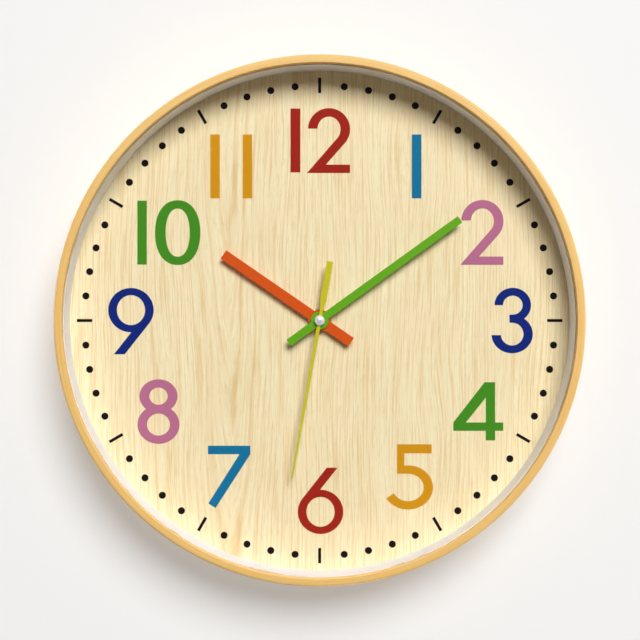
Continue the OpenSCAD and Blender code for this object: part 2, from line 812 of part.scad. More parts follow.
module coil_winding() {
    color("peru") on_wall()
        along_coil(bobbin_left + bobbin_flange_t + press_gap, bobbin_right - bobbin_flange_t - press_gap)
            ring(winding_r, bobbin_r + press_gap, 0, $coil_len);
}

module rotor_magnet() {
    color("dimgray") on_wall() at(rotor_pos)
        ring(magnet_r, pivot_r + press_gap, magnet_z, magnet_z + magnet_t);
}

module rotor_pinion() {
    teeth_top = step_wheel_z + gear_t + rotor_pinion_past;
    color("ivory") on_wall() at(rotor_pos) {
        pin(pivot_r, pivot_back, plate_z + plate_t - slide_gap);
        slab(train_back, teeth_top) pinion_teeth(rotor_module, rotor_teeth, rotor_phase);
        pin(0.9 * tip_r(rotor_module, rotor_teeth), teeth_top - sink, magnet_z);
    }
}

module step_wheel() {
    color("white") on_wall() at(step_pos) {
        pin(pivot_r, pivot_back, plate_z + plate_t - slide_gap);
        slab(step_wheel_z, step_wheel_z + gear_t)
            spoked_wheel(rotor_module, step_wheel_teeth, 0, 1.6, 5);
        slab(step_wheel_z + gear_t - sink, second_wheel_z + gear_t + leaf_past)
            pinion_teeth(step_module, step_pinion_teeth, step_pinion_phase);
    }
}

// Second train

module second_wheel() {
    color("white") on_wall() difference() {
        union() {
            slab(second_wheel_z, second_wheel_z + gear_t)
                spoked_wheel(step_module, second_wheel_teeth, 0, 2.1, 5);
            slab(second_wheel_z + gear_t - sink, third_wheel_z + gear_t + leaf_past)
                pinion_teeth(second_module, second_pinion_teeth, 0);
        }
        pin(arbor_r + press_gap, second_wheel_z - over, plate_z);
    }
}

module second_arbor() {
    color("lightsteelblue") on_wall() pin(arbor_r, pivot_back, arbor_top);
}

module third_wheel() {
    color("white") on_wall() at(third_pos) {
        pin(pivot_r, pivot_back, pivot_front);
        slab(third_wheel_z, third_wheel_z + gear_t)
            spoked_wheel(second_module, third_wheel_teeth, third_wheel_phase, 2.2, 6);
        slab(third_wheel_z + gear_t - sink, minute_wheel_z + gear_t + leaf_past)
            pinion_teeth(minute_wheel_module, third_pinion_teeth, 0);
    }
}

module minute_wheel() {
    color("white") on_wall() slab(minute_wheel_z, minute_wheel_z + gear_t) difference() {
        spoked_wheel(minute_wheel_module, minute_wheel_teeth, minute_wheel_phase, 3.2, 6);
        circle(minute_pipe_r + run_gap);
    }
}

// Minute and hour

module minute_pipe() {
    color("ivory") on_wall() difference() {
        union() {
            pin(minute_pipe_r, minute_flange_z, minute_pipe_top);
            pin(minute_pipe_r + minute_flange_w, minute_flange_z, minute_flange_z + minute_flange_t);
            slab(motion_wheel_z - minute_pinion_past, motion_wheel_z + gear_t + minute_pinion_past)
                pinion_teeth(motion_module, minute_pinion_teeth, 0);
        }
        pin(arbor_r + run_gap, minute_flange_z - over, minute_pipe_top + over);
    }
}

// Dished spring washer that presses the minute wheel onto the pipe's flange
module clutch_spring() {
    r_in = minute_pipe_r + press_gap;
    low = minute_wheel_z + gear_t + slide_gap / 2;
    high = motion_wheel_z - minute_pinion_past;
    color("silver") on_wall() rotate_extrude()
        polygon([[r_in, high - clutch_t], [r_in, high], [r_in + clutch_flat, high],
            [r_in + clutch_w, low + clutch_t], [r_in + clutch_w, low]]);
}

module motion_wheel() {
    color("white") on_wall() at(motion_pos) {
        pin(pivot_r, motion_wheel_z, pivot_front);
        pin(stem_r, knob_z + knob_web, motion_wheel_z + sink);
        slab(motion_wheel_z, motion_wheel_z + gear_t)
            spoked_wheel(motion_module, motion_wheel_teeth, motion_wheel_phase, 2.4, 5);
        slab(motion_wheel_z + gear_t - sink, hour_wheel_z + gear_t + leaf_past)
            pinion_teeth(hour_module, motion_pinion_teeth, 0);
    }
}

// Knurled knob with a raised thumb rim, pressed on the stem
module setting_knob() {
    color([0.2, 0.2, 0.21]) on_wall() at(motion_pos) difference() {
        pin(knob_r, knob_z, knob_z + knob_t);
        for (i = [0:knob_grips - 1]) at(polar(knob_r + grip_r / 2, i * 360 / knob_grips))
            pin(grip_r, knob_z - over, knob_z + knob_t + over, $fn = 24);
        ring(knob_r - knob_rim_w, knob_hub_r, knob_z - over, knob_z + knob_dish);
        pin(stem_r + press_gap, knob_z + knob_web, knob_z + knob_t + over);
    }
}

module hour_wheel() {
    color("white") on_wall() difference() {
        union() {
            slab(hour_wheel_z, hour_wheel_z + gear_t)
                spoked_wheel(hour_module, hour_wheel_teeth, hour_wheel_phase, 3.4, 6);
            pin(hour_pipe_r + hour_boss_wall, hour_wheel_z - leaf_past, room_front - hour_boss_gap);
            pin(hour_pipe_r, hour_wheel_z - leaf_past, hour_pipe_top);
        }
        pin(minute_pipe_r + run_gap, hour_wheel_z - over, hour_pipe_top + over);
    }
}

// Hands

module square_hand(len, tail, w, eye_r, hole_r) {
    difference() {
        union() {
            translate([-w / 2, -tail]) square([w, len + tail]);
            circle(eye_r);
        }
        circle(hole_r);
    }
}

// Brass bush: a flange under the hand and a tube through its eye
module eye_bush(tube_r, bore_r, z, top) {
    difference() {
        union() {
            pin(tube_r + eye_bush_rim, z - eye_bush_flange, z);
            pin(tube_r, z - eye_bush_flange, top);
        }
        pin(bore_r, z - over, top + over);
    }
}

module hour_hand() {
    color([0.87, 0.33, 0.12]) on_wall() clock_hand(hour_angle) slab(hour_z, hour_z + hand_t)
        square_hand(hour_len, hour_tail, hour_w, hour_eye_d / 2, hour_bush_r + press_gap);
}

module hour_eye_bush() {
    color("goldenrod") on_wall() eye_bush(hour_bush_r, hour_pipe_r + press_gap, hour_z, hour_pipe_top);
}

module minute_hand() {
    color([0.36, 0.69, 0.12]) on_wall() clock_hand(minute_angle) slab(minute_z, minute_z + hand_t)
        square_hand(minute_len, minute_tail, minute_w, minute_eye_d / 2, minute_bush_r + press_gap);
}

module minute_eye_bush() {
    color("goldenrod") on_wall()
        eye_bush(minute_bush_r, minute_pipe_r + press_gap, minute_z, minute_pipe_top);
}

// Half outline of the second hand, mirrored about its long axis
module second_hand() {
    neck_w = needle_w - 0.3;
    shoulder = 2.6;
    point = 2;
    point_w = 0.3;
    half = [[weight_w / 2, -second_tail], [weight_w / 2, -weight_start],
        [needle_w / 2, -weight_start + shoulder], [neck_w / 2, -cap_d / 2], [needle_w / 2, cap_d / 2],
        [needle_tip_w / 2, second_len - point], [point_w / 2, second_len]];
    mirrored = [for (i = [len(half) - 1:-1:0]) [-half[i][0], half[i][1]]];
    color([0.78, 0.76, 0.12]) on_wall() clock_hand(second_angle) slab(second_z, second_z + second_t)
        difference() {
            union() {
                polygon(concat(half, mirrored));
                circle(second_eye_r);
            }
            circle(second_tube_r + press_gap);
        }
}

module second_tube() {
    color("silver") on_wall()
        ring(second_tube_r, arbor_r + press_gap, second_z + second_t - second_tube_len, second_z + second_t);
}

module hand_cap() {
    r = cap_d / 2;
    z = second_z + second_t;
    dome = [for (a = [0:9:90]) [r * cos(a), cap_edge + (cap_h - cap_edge) * sin(a)]];
    color("gainsboro") on_wall() difference() {
        translate([0, 0, z]) rotate_extrude() polygon(concat([[0, 0], [r, 0]], dome));
        pin(arbor_r + press_gap, z - over, arbor_top + press_gap);
    }
}

wood_frame();
front_glass();
spacer_ring();
dial_face();
minute_dots();
hour_bars();
dial_board();
board_tabs();
hex_nut();
nut_washer();
sealing_gasket();
wall_hanger();
threaded_bush();
case_shell();
case_cover();
middle_plate();
dry_cell();
contact_positive();
contact_negative();
circuit_board();
timing_chip();
quartz_crystal();
stator_plate();
coil_core();
coil_bobbin();
coil_winding();
second_hand();
hand_cap();
second_tube();
second_wheel();
second_arbor();
rotor_magnet();
rotor_pinion();
step_wheel();
third_wheel();
minute_wheel();
minute_hand();
minute_eye_bush();
minute_pipe();
clutch_spring();
motion_wheel();
setting_knob();
hour_hand();
hour_eye_bush();
hour_wheel();
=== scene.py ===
import bpy
import math
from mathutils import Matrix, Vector


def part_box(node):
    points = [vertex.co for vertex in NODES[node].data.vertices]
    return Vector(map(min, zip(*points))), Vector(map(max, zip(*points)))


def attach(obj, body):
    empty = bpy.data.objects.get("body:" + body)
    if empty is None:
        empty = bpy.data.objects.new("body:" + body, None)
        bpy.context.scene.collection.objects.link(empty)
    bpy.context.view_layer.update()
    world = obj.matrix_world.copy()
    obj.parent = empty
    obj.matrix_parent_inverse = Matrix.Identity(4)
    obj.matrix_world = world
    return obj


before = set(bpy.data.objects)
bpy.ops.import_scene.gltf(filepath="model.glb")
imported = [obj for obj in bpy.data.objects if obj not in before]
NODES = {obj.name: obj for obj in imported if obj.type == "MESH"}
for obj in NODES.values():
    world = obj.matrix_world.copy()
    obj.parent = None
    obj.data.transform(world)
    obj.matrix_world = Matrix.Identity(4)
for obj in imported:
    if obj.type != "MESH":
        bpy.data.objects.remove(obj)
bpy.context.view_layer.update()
MM = 0.001

# Where things lie, in the frame: x to the right, z up, y into the wall. HOOP_R is in millimetres
DIAL_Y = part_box("dial_face")[0].y
COVER_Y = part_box("case_cover")[1].y
HOOP_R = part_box("wood_frame")[1].x / MM


# Small helpers

def add_object(name, data):
    made = bpy.data.objects.new(name, data)
    bpy.context.scene.collection.objects.link(made)
    return made


def srgb(red, green, blue):
    """A colour as seen, 0 to 255, turned into linear light."""
    return tuple(
        (c / 255 / 12.92) if c / 255 <= 0.04045 else ((c / 255 + 0.055) / 1.055) ** 2.4
        for c in (red, green, blue))


def tinted(colour, gain, lift=0.0):
    """A colour made lighter or darker."""
    return tuple(min(1, c * gain + lift) for c in colour)


# Materials

class Shader:
    """Builds the nodes of one material or world, which the functions below call s. A value is
    a number, a tuple or another node's output."""

    def __init__(self, owner):
        owner.use_nodes = True
        self.owner = owner
        self.tree = owner.node_tree
        self.tree.nodes.clear()

    def add(self, kind, values=None, **settings):
        node = self.tree.nodes.new(kind)
        for key, value in settings.items():
            setattr(node, key, value)
        for key, value in (values or {}).items():
            self.put(node.inputs[key], value)
        return node

    def put(self, socket, value):
        if isinstance(value, bpy.types.NodeSocket):
            self.tree.links.new(value, socket)
        elif socket.type == "RGBA" and len(value) == 3:
            socket.default_value = (*value, 1)
        else:
            socket.default_value = value

    def math(self, operation, a, b=0.0, c=0.0):
        return self.add("ShaderNodeMath", {0: a, 1: b, 2: c}, operation=operation).outputs[0]

    def plus(self, a, b):
        return self.math("ADD", a, b)

    def minus(self, a, b):
        return self.math("SUBTRACT", a, b)

    def times(self, a, b):
        return self.math("MULTIPLY", a, b)

    def wave(self, value, pace):
        """A sine of so many radians to the millimetre."""
        return self.math("SINE", self.times(value, pace))

    def weave(self, x, z, pace):
        """Waves along x and z, crossed."""
        return self.times(self.wave(x, pace), self.wave(z, pace))

    def length(self, a, b):
        """The length of a line that goes a one way and b across it."""
        return self.math("SQRT", self.plus(self.times(a, a), self.times(b, b)))

    def spot(self):
        """x, y and z on the piece, in millimetres."""
        place = self.add("ShaderNodeTexCoord").outputs["Object"]
        scaled = self.add("ShaderNodeVectorMath", {0: place, "Scale": 1 / MM}, operation="SCALE")
        return self.add("ShaderNodeSeparateXYZ", {0: scaled.outputs[0]}).outputs[:3]

    def polar(self, x, z):
        """Distance from the hands' axis, and the way round it at the hoop, both in millimetres."""
        return self.length(x, z), self.times(self.math("ARCTAN2", x, z), HOOP_R)

    def vector(self, x, y, z=0.0):
        return self.add("ShaderNodeCombineXYZ", {0: x, 1: y, 2: z}).outputs[0]

    def noise(self, vector, scale, detail, roughness=0.5):
        return self.add("ShaderNodeTexNoise", {
            "Vector": vector, "Scale": scale, "Detail": detail, "Roughness": roughness}).outputs[0]

    def stretched(self, x, y, step_x, step_y, detail, roughness=0.5):
        """Noise whose grains are step_x by step_y millimetres."""
        vector = self.vector(self.math("DIVIDE", x, step_x), self.math("DIVIDE", y, step_y))
        return self.noise(vector, 1.0, detail, roughness)

    def span(self, value, low, high, to_low=0.0, to_high=1.0, smooth=False):
        """Turns low to high into to_low to to_high, and holds still outside them."""
        return self.add("ShaderNodeMapRange", {
            "Value": value, "From Min": low, "From Max": high, "To Min": to_low, "To Max": to_high},
            interpolation_type="SMOOTHSTEP" if smooth else "LINEAR").outputs[0]

    def spread(self, noise, low, high):
        """Most noise lies between 0.3 and 0.7: this spreads it from low to high."""
        return self.span(noise, 0.3, 0.7, low, high)

    def stripe(self, value, low, high, edge=0.1):
        """1 between low and high, with soft edges inside them."""
        return self.times(self.span(value, low, low + edge), self.span(value, high, high - edge))

    def mix(self, share, a, b):
        """Colour a, with a share of colour b."""
        node = self.add("ShaderNodeMix", data_type="RGBA")
        # Inputs 1 to 5 belong to the node's other data types
        for socket, value in ((0, share), (6, a), (7, b)):
            self.put(node.inputs[socket], value)
        return node.outputs[2]

    def bump(self, height, distance):
        """A normal raised by height times distance, in millimetres."""
        return self.add("ShaderNodeBump", {
            "Height": height, "Distance": distance * MM, "Strength": 1.0}).outputs[0]

    def blend(self, share, first, second):
        """The first shader, with a share of the second."""
        return self.add("ShaderNodeMixShader", {0: share, 1: first.outputs[0], 2: second.outputs[0]})

    def rays(self):
        """1 for a ray from the camera, and 1 for a ray from a mirror or through glass."""
        path = self.add("ShaderNodeLightPath").outputs
        mirrored = self.math("MAXIMUM", path["Is Glossy Ray"], path["Is Transmission Ray"])
        return path["Is Camera Ray"], mirrored

    def surface(self, **values):
        """Ends the material with one Principled shader; Base_Color stands for Base Color."""
        node = self.add("ShaderNodeBsdfPrincipled", {
            key.replace("_", " "): value for key, value in values.items()})
        return self.output(node)

    def output(self, node, kind="ShaderNodeOutputMaterial"):
        self.add(kind, {"Surface": node.outputs[0]})
        return self.owner


def new_shader(name):
    return Shader(bpy.data.materials.new(name))


def honey_wood():
    """Lacquered bent wood: the grain runs round the hoop and meets in a scarf joint below."""
    s = new_shader("honey_wood_look")
    x, y, z = s.spot()
    radius, turn = s.polar(x, z)
    layer_slant, wander_mm = 0.6, 3.0
    depth = s.plus(radius, s.times(y, layer_slant))
    wander = s.times(s.stretched(turn, y, 60, 20, 1), wander_mm)
    across = s.plus(depth, wander)
    grain = s.stretched(turn, across, 45, 0.9, 4, 0.6)
    band = s.stretched(turn, across, 160, 3.5, 2)
    pores = s.span(s.stretched(turn, across, 7, 0.22, 2), 0.62, 0.74)
    colour = s.mix(s.span(grain, 0.35, 0.7), srgb(243, 200, 122), srgb(233, 182, 99))
    colour = s.mix(s.span(band, 0.4, 0.7, 0, 0.5), colour, srgb(247, 208, 136))
    colour = s.mix(s.times(pores, 0.3), colour, srgb(196, 138, 66))
    # The scarf joint crosses the hoop on a long slant at the bottom
    seam_x, seam_slant, seam_w, seam_z = 26, 0.9, 0.18, -140
    off_seam = s.math("ABSOLUTE", s.minus(s.plus(x, s.times(y, seam_slant)), seam_x))
    seam = s.times(s.span(off_seam, 0.0, seam_w, 1, 0), s.span(z, seam_z, seam_z - 2))
    colour = s.mix(s.times(seam, 0.65), colour, srgb(150, 98, 45))
    height = s.minus(s.times(grain, 0.4), s.plus(s.times(pores, 0.6), seam))
    return s.surface(
        Base_Color=colour, Roughness=s.spread(grain, 0.42, 0.55), Specular_IOR_Level=0.3,
        Coat_Weight=0.08, Coat_Roughness=0.3, Normal=s.bump(height, 0.04))


def growth_rings(s, x, z):
    """Distance from the tree's heart, which leans away from the face of a plain sawn veneer.
    Lines of one distance run straight up the dial, and close in nested tongues near one column.
    Also the place along the grain, the nearness to the column and 1 on the column's right."""
    column_x, drift_mm, jitter_mm = -53, 14, 0.9
    heart_lean, heart_depth = -0.06, 9
    drift = s.times(s.minus(s.stretched(x, z, 40, 130, 1), 0.5), drift_mm)
    side = s.plus(s.plus(x, -column_x), drift)
    heart = s.math("MULTIPLY_ADD", z, heart_lean, heart_depth)
    jitter = s.times(s.minus(s.stretched(x, z, 3, 24, 3), 0.5), jitter_mm)
    near = s.span(s.math("ABSOLUTE", side), 6, 24, 1, 0, True)
    right = s.span(side, -1.5, 1.5)
    # The right side reads the noise elsewhere, so that the left is not its mirror
    elsewhere = 300
    along = s.math("MULTIPLY_ADD", right, elsewhere, z)
    return s.plus(s.length(side, heart), jitter), along, near, right


def pale_veneer():
    """Pale ash veneer with fine straight vertical grain, under a matt lacquer."""
    s = new_shader("pale_veneer_look")
    x, _, z = s.spot()
    rings, along, near, right = growth_rings(s, x, z)
    lines = s.span(s.stretched(rings, along, 1.0, 60, 3, 0.65), 0.45, 0.62, 0, 1, True)
    fine = s.span(s.stretched(rings, along, 0.5, 22, 2), 0.42, 0.66)
    bands = s.span(s.stretched(rings, along, 12, 300, 1), 0.36, 0.66)
    pores = s.span(s.stretched(x, z, 0.25, 3.4, 1), 0.62, 0.74)
    streaks = s.span(s.stretched(rings, along, 0.55, 9, 2, 0.6), 0.56, 0.72)
    # Late wood: a broad tan band at every few rings near the column, strongest on its right
    half_step, first_band = 2.85, 0.4
    off_band = s.math("ABSOLUTE", s.math("WRAP", s.minus(rings, first_band), half_step, -half_step))
    late = s.span(off_band, 0.2, 1.5, 1, 0, True)
    late = s.times(late, s.span(s.stretched(x, z, 9, 45, 2), 0.36, 0.6, 0.25, 1.0))
    late = s.times(late, s.span(right, 0, 1, 0.4, 1.0))
    lean = s.times(lines, s.span(near, 0, 1, 0.56, 0.32))
    lean = s.math("MULTIPLY_ADD", fine, 0.22, lean)
    lean = s.math("MULTIPLY_ADD", bands, 0.14, lean)
    lean = s.plus(lean, s.times(late, s.span(near, 0, 1, 0.0, 0.9)))
    colour = s.mix(lean, srgb(252, 240, 201), srgb(232, 202, 149))
    colour = s.mix(s.times(streaks, 0.4), colour, srgb(212, 182, 128))
    colour = s.mix(s.times(pores, 0.25), colour, srgb(204, 172, 120))
    height = s.minus(s.times(lines, 0.5), s.times(pores, 0.8))
    return s.surface(
        Base_Color=colour, Roughness=s.span(lines, 0, 1, 0.55, 0.68), Specular_IOR_Level=0.2,
        Normal=s.bump(height, 0.02))


def clear_glass():
    """Flat float glass: clear, with a weak mirror that grows at a slant."""
    s = new_shader("clear_glass_look")
    clear = s.add("ShaderNodeBsdfTransparent", {"Color": (1, 1, 1)})
    mirror = s.add("ShaderNodeBsdfGlossy", {"Color": (1, 1, 1), "Roughness": 0.02})
    slant = s.add("ShaderNodeLayerWeight", {"Blend": 0.5}).outputs["Facing"]
    straight_on, growth, steepness = 0.02, 0.8, 5
    share = s.math("MULTIPLY_ADD", s.math("POWER", slant, steepness), growth, straight_on)
    return s.output(s.blend(share, clear, mirror))


def pale_plastic():
    """Off-white moulded ring, faintly satin, with draw lines along its wall."""
    s = new_shader("pale_plastic_look")
    x, y, z = s.spot()
    radius, turn = s.polar(x, z)
    cloud = s.noise(s.vector(turn, radius, y), 0.05, 2)
    lines = s.stretched(turn, y, 0.8, 30, 2)
    colour = s.mix(cloud, srgb(245, 246, 255), srgb(237, 237, 250))
    return s.surface(
        Base_Color=colour, Roughness=s.spread(cloud, 0.42, 0.55), Normal=s.bump(lines, 0.01))


def ink(name, colour):
    """Screen printed ink: nearly flat, and a little uneven in coverage."""
    s = new_shader(name)
    x, y, z = s.spot()
    coverage = s.noise(s.vector(x, y, z), 0.9, 4, 0.65)
    pits = s.noise(s.vector(x, y, z), 9, 2)
    return s.surface(
        Base_Color=s.mix(s.span(coverage, 0.45, 0.75), colour, tinted(colour, 1.08, 0.002)),
        Roughness=s.spread(coverage, 0.6, 0.72), Specular_IOR_Level=0.08,
        Normal=s.bump(pits, 0.006))


def fibre_board():
    """Pressed hardboard: matted brown fibres, with the screen's weave on its back."""
    s = new_shader("fibre_board_look")
    x, y, z = s.spot()
    warp_mm, screen_pace = 14, 4.2
    warp = s.times(s.noise(s.vector(x, z), 0.12, 2), warp_mm)
    along = s.stretched(s.plus(x, warp), s.minus(z, warp), 0.5, 3.4, 4, 0.7)
    across = s.stretched(s.minus(x, warp), s.plus(z, warp), 3.1, 0.5, 4, 0.7)
    fibres = s.math("MAXIMUM", along, across)
    blotch = s.noise(s.vector(x, y, z), 0.06, 3)
    flecks = s.span(s.noise(s.vector(x, y, z), 1.4, 3, 0.6), 0.62, 0.72)
    colour = s.mix(s.span(fibres, 0.45, 0.72), srgb(129, 96, 62), srgb(176, 140, 98))
    colour = s.mix(s.span(blotch, 0.35, 0.65, 0, 0.4), colour, srgb(112, 80, 50))
    colour = s.mix(s.times(flecks, 0.5), colour, srgb(84, 58, 36))
    height = s.plus(s.times(fibres, 0.8), s.times(s.weave(x, z, screen_pace), 0.25))
    return s.surface(Base_Color=colour, Roughness=0.82, Normal=s.bump(height, 0.12))


def metal(name, colour, dull, rough, grain_step):
    """Plated or stamped sheet: cloudy tarnish, fine rolling lines and a few scratches."""
    s = new_shader(name)
    x, y, z = s.spot()
    cloud = s.noise(s.vector(x, y, z), 0.22, 4, 0.6)
    rolled = s.stretched(s.plus(x, y), z, grain_step, 14, 3, 0.6)
    scratch = s.span(s.stretched(s.plus(x, s.times(z, 0.4)), z, 0.25, 22, 1), 0.72, 0.76)
    tone = s.mix(s.span(cloud, 0.35, 0.7), colour, dull)
    tone = s.mix(s.times(scratch, 0.5), tone, tinted(colour, 1.3))
    return s.surface(
        Base_Color=tone, Metallic=1.0, Roughness=s.spread(cloud, rough, rough + 0.18),
        Normal=s.bump(s.minus(rolled, scratch), 0.01))


def brass():
    """Turned brass: fine tool rings about the hands' axis, and a thread on the bush."""
    s = new_shader("brass_look")
    x, y, z = s.spot()
    radius, turn = s.polar(x, z)
    ring_pace, pitch, bush_r, near = 42, 0.75, 4.0, 0.1
    tool_rings = s.wave(radius, ring_pace)
    lead = s.times(turn, pitch / (2 * math.pi * HOOP_R))
    thread = s.math("PINGPONG", s.plus(y, lead), pitch / 2)
    on_thread = s.stripe(radius, bush_r - near, bush_r + near, 0.07)
    cloud = s.noise(s.vector(x, y, z), 0.5, 3)
    height = s.plus(s.times(tool_rings, 0.03), s.times(thread, on_thread))
    return s.surface(
        Base_Color=s.mix(cloud, srgb(226, 190, 112), srgb(205, 163, 84)), Metallic=1.0,
        Roughness=s.spread(cloud, 0.2, 0.36), Normal=s.bump(height, 0.5))


def moulded(name, colour, rough, grain, bump, worn=None):
    """Moulded plastic: a fine eroded skin, slight flow clouds and rubbed high spots."""
    s = new_shader(name)
    x, y, z = s.spot()
    spot = s.vector(x, y, z)
    skin = s.noise(spot, grain, 3, 0.6)
    cloud = s.noise(spot, 0.09, 2)
    rub = s.span(s.noise(spot, 0.5, 5, 0.7), 0.6, 0.78)
    lighter = worn or tinted(colour, 1.25, 0.004)
    tone = s.mix(s.times(rub, 0.6), colour, lighter)
    return s.surface(
        Base_Color=s.mix(s.spread(cloud, 0, 0.25), tone, lighter),
        Roughness=s.minus(s.spread(skin, rough, rough + 0.12), s.times(rub, 0.1)),
        Normal=s.bump(skin, bump))


def black_rubber():
    """Cut gasket rubber, dulled by dust."""
    s = new_shader("black_rubber_look")
    x, y, z = s.spot()
    dust = s.noise(s.vector(x, y, z), 1.2, 4, 0.7)
    return s.surface(
        Base_Color=s.mix(s.span(dust, 0.5, 0.8, 0, 0.6), srgb(30, 30, 30), srgb(74, 72, 68)),
        Roughness=s.spread(dust, 0.72, 0.9), Normal=s.bump(dust, 0.03))


def cell_sleeve():
    """A dry cell: dark printed sleeve, one plain copper-coloured band, bare steel ends."""
    s = new_shader("cell_sleeve_look")
    x, y, z = s.spot()
    middle_x, half_sleeve, edge = -0.6, 23.7, 0.1
    from_middle = s.math("ABSOLUTE", s.plus(x, -middle_x))
    steel = s.span(from_middle, half_sleeve, half_sleeve + edge)
    band = s.stripe(x, 9.9, 23.3)
    line = s.stripe(x, 8.7, 9.3)
    cloud = s.noise(s.vector(x, y, z), 0.4, 3)
    colour = s.mix(band, srgb(46, 49, 54), srgb(196, 132, 72))
    colour = s.mix(line, colour, srgb(220, 216, 206))
    colour = s.mix(steel, colour, srgb(198, 199, 200))
    scuff = s.span(s.stretched(x, y, 6, 0.3, 3, 0.7), 0.62, 0.72)
    colour = s.mix(s.times(scuff, 0.25), colour, srgb(170, 166, 160))
    metallic = s.math("MAXIMUM", steel, s.times(band, 0.6))
    return s.surface(
        Base_Color=colour, Metallic=metallic, Roughness=s.spread(cloud, 0.28, 0.4),
        Normal=s.bump(cloud, 0.02))


def circuit_laminate():
    """Glass laminate under green solder mask, with the copper tracks showing through."""
    s = new_shader("circuit_laminate_look")
    x, _, z = s.spot()
    tracks = s.add("ShaderNodeTexBrick", {
        "Vector": s.vector(x, z), "Scale": 0.35, "Mortar Size": 0.16, "Mortar Smooth": 0.1,
        "Color1": (0, 0, 0), "Color2": (0, 0, 0), "Mortar": (1, 1, 1)}, offset=0.37, squash=1.6)
    track = tracks.outputs["Color"]
    glass_pace = 16
    return s.surface(
        Base_Color=s.mix(track, srgb(20, 92, 58), srgb(52, 128, 84)),
        Roughness=s.span(s.weave(x, z, glass_pace), -1, 1, 0.3, 0.38), Normal=s.bump(track, 0.04))


def coil_copper():
    """Enamelled wire in close coils round the core, with painted shade between the wires and a
    painted highlight on each wire.
    """
    s = new_shader("coil_copper_look")
    x, y, z = s.spot()
    wire_pace = 21
    wire_shade_and_relief = s.math("ABSOLUTE", s.wave(x, wire_pace))
    cloud = s.noise(s.vector(x, y, z), 0.8, 2)
    # The dark copper between the wires is painted shade and the bright copper on their crests is a
    # painted highlight; the same wave makes the bump
    return s.surface(
        Base_Color=s.mix(s.times(wire_shade_and_relief, 0.8), srgb(120, 56, 28), srgb(206, 116, 62)),
        Metallic=0.85, Roughness=s.spread(cloud, 0.26, 0.4), Normal=s.bump(wire_shade_and_relief, 0.07))


def paint(name, colour):
    """Sprayed enamel on the hands: a fine orange peel, and dust that dulls it in places."""
    s = new_shader(name)
    x, y, z = s.spot()
    spot = s.vector(x, y, z)
    peel = s.noise(spot, 1.6, 3, 0.6)
    dust = s.noise(spot, 0.35, 4, 0.65)
    return s.surface(
        Base_Color=s.mix(s.span(dust, 0.42, 0.7, 0, 0.6), colour, tinted(colour, 0.93)),
        Roughness=s.spread(dust, 0.4, 0.55), Specular_IOR_Level=0.12, Normal=s.bump(peel, 0.01))


def chrome():
    """Satin plating on the cap, pale and softly clouded."""
    s = new_shader("chrome_look")
    x, y, z = s.spot()
    peel = s.noise(s.vector(x, y, z), 1.1, 2)
    return s.surface(
        Base_Color=s.mix(peel, srgb(240, 239, 246), srgb(228, 226, 236)), Metallic=0.35,
        Roughness=s.spread(peel, 0.2, 0.3), Normal=s.bump(peel, 0.01))


def dress(material, *nodes):
    """Gives CAD nodes one material."""
    for name in nodes:
        for slot in NODES[name].material_slots:
            slot.material = material


def dress_nodes():
    dress(honey_wood(), "wood_frame")
    dress(pale_veneer(), "dial_face")
    dress(clear_glass(), "front_glass")
    dress(pale_plastic(), "spacer_ring")
    dress(ink("black_ink_look", srgb(14, 10, 9)), "minute_dots", "hour_bars")
    dress(fibre_board(), "dial_board")
    dress(metal("plated_steel_look", srgb(205, 207, 208), srgb(172, 173, 170), 0.26, 0.3),
          "board_tabs", "nut_washer", "wall_hanger", "contact_positive", "contact_negative",
          "quartz_crystal")
    dress(brass(), "hex_nut", "threaded_bush", "hour_eye_bush", "minute_eye_bush")
    dress(black_rubber(), "sealing_gasket")
    dress(moulded("black_plastic_look", srgb(44, 44, 47), 0.4, 5, 0.03, srgb(74, 74, 78)),
          "case_shell", "case_cover", "setting_knob")
    dress(cell_sleeve(), "dry_cell")
    dress(circuit_laminate(), "circuit_board")
    dress(moulded("chip_resin_look", srgb(24, 24, 26), 0.3, 2, 0.02), "timing_chip")
    dress(metal("motor_iron_look", srgb(150, 154, 160), srgb(112, 115, 120), 0.34, 0.2),
          "stator_plate", "coil_core", "second_arbor", "clutch_spring", "second_tube")
    dress(moulded("ivory_plastic_look", srgb(236, 228, 206), 0.3, 3, 0.01),
          "middle_plate", "coil_bobbin", "rotor_pinion", "minute_pipe")
    dress(moulded("white_plastic_look", srgb(242, 242, 238), 0.28, 3, 0.01),
          "step_wheel", "second_wheel", "third_wheel", "minute_wheel", "motion_wheel", "hour_wheel")
    dress(coil_copper(), "coil_winding")
    dress(moulded("magnet_ferrite_look", srgb(58, 58, 62), 0.5, 8, 0.03), "rotor_magnet")
    dress(paint("orange_paint_look", srgb(217, 83, 10)), "hour_hand")
    dress(paint("green_paint_look", srgb(101, 171, 20)), "minute_hand")
    dress(paint("yellow_paint_look", srgb(202, 194, 30)), "second_hand")
    dress(chrome(), "hand_cap")


# Numerals, each drawn about its own centre in millimetres, y up

STEM_W, STEM_H = 5.5, 37.1
INK_MM = 0.1


def ellipse(cx, cy, rx, ry):
    return {"cx": cx, "cy": cy, "rx": rx, "ry": ry}


def point_on(oval, angle):
    """The point at an angle in degrees, anticlockwise from the right."""
    a = math.radians(angle)
    return (oval["cx"] + oval["rx"] * math.cos(a), oval["cy"] + oval["ry"] * math.sin(a))


def arc(oval, start, end):
    """Points along the ellipse, about one to every 4 degrees."""
    steps = max(4, int(abs(end - start) / 4))
    return [point_on(oval, start + (end - start) * i / steps) for i in range(steps + 1)]


def whole(oval):
    """The ellipse as a closed loop."""
    return arc(oval, 0, 360)[:-1]


def place_in(oval, point):
    """A point measured in the ellipse's radii from its centre."""
    return (point[0] - oval["cx"]) / oval["rx"], (point[1] - oval["cy"]) / oval["ry"]


def angle_of(oval, point):
    x, y = place_in(oval, point)
    return math.degrees(math.atan2(y, x))


def tangent(oval, point):
    """Angle at which a line from an outside point touches the ellipse, on its anticlockwise side."""
    x, y = place_in(oval, point)
    return math.degrees(math.atan2(y, x) + math.acos(1 / math.hypot(x, y)))


